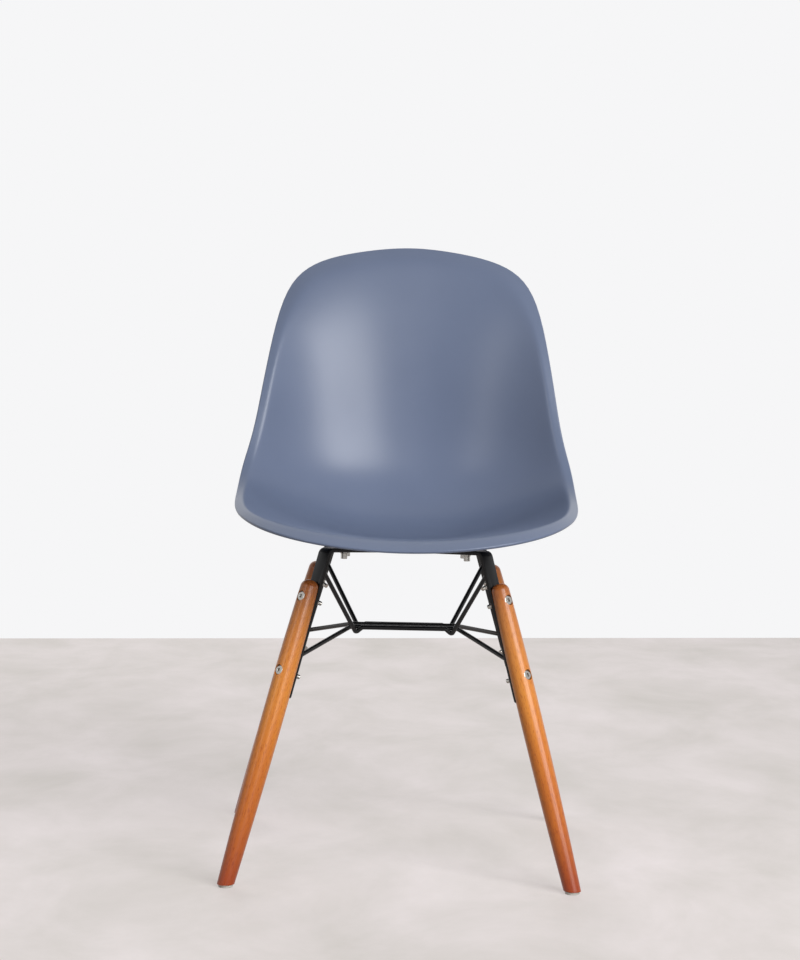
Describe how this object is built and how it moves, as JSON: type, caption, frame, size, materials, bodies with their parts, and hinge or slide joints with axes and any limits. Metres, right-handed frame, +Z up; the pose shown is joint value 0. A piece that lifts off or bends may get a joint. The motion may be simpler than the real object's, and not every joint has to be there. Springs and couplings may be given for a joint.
{
  "type": "moulded plastic shell chair",
  "caption": "Side chair with a one-piece moulded plastic shell on crossed steel bars, turned wooden legs bolted on at a slant and bent wire braces.",
  "frame": {"origin": "on the floor, in the middle of the chair's outline seen from above", "axes": "+Z up, -Y towards the front of the seat, +X to the right as seen from the front"},
  "size_m": [0.4812, 0.5437, 0.8303],
  "materials": {
    "shell_plastic": "satin moulded polypropylene, slate blue",
    "insert_brass": "turned brass",
    "pad_rubber": "matt black rubber",
    "zinc_steel": "zinc-plated steel",
    "screw_steel": "zinc-plated steel",
    "black_steel": "satin black powder coat",
    "leg_wood": "clear-lacquered beech",
    "glide_nylon": "natural nylon"
  },
  "bodies": {
    "root": {"seat_shell": "shell_plastic", "threaded_inserts": "insert_brass", "spacer_pads": "pad_rubber", "flat_washers": "zinc_steel", "spring_washers": "zinc_steel", "seat_bolts": "zinc_steel", "long_bar": "black_steel", "short_bar_front": "black_steel", "short_bar_rear": "black_steel", "front_lower_rod": "black_steel", "front_upper_rod": "black_steel", "rear_lower_rod": "black_steel", "rear_upper_rod": "black_steel", "leg_front_left": "leg_wood", "leg_screws_front_left": "screw_steel", "leg_nuts_front_left": "zinc_steel", "glide_front_left": "glide_nylon", "leg_front_right": "leg_wood", "leg_screws_front_right": "screw_steel", "leg_nuts_front_right": "zinc_steel", "glide_front_right": "glide_nylon", "leg_rear_left": "leg_wood", "leg_screws_rear_left": "screw_steel", "leg_nuts_rear_left": "zinc_steel", "glide_rear_left": "glide_nylon", "leg_rear_right": "leg_wood", "leg_screws_rear_right": "screw_steel", "leg_nuts_rear_right": "zinc_steel", "glide_rear_right": "glide_nylon"}
  },
  "joints": []
}
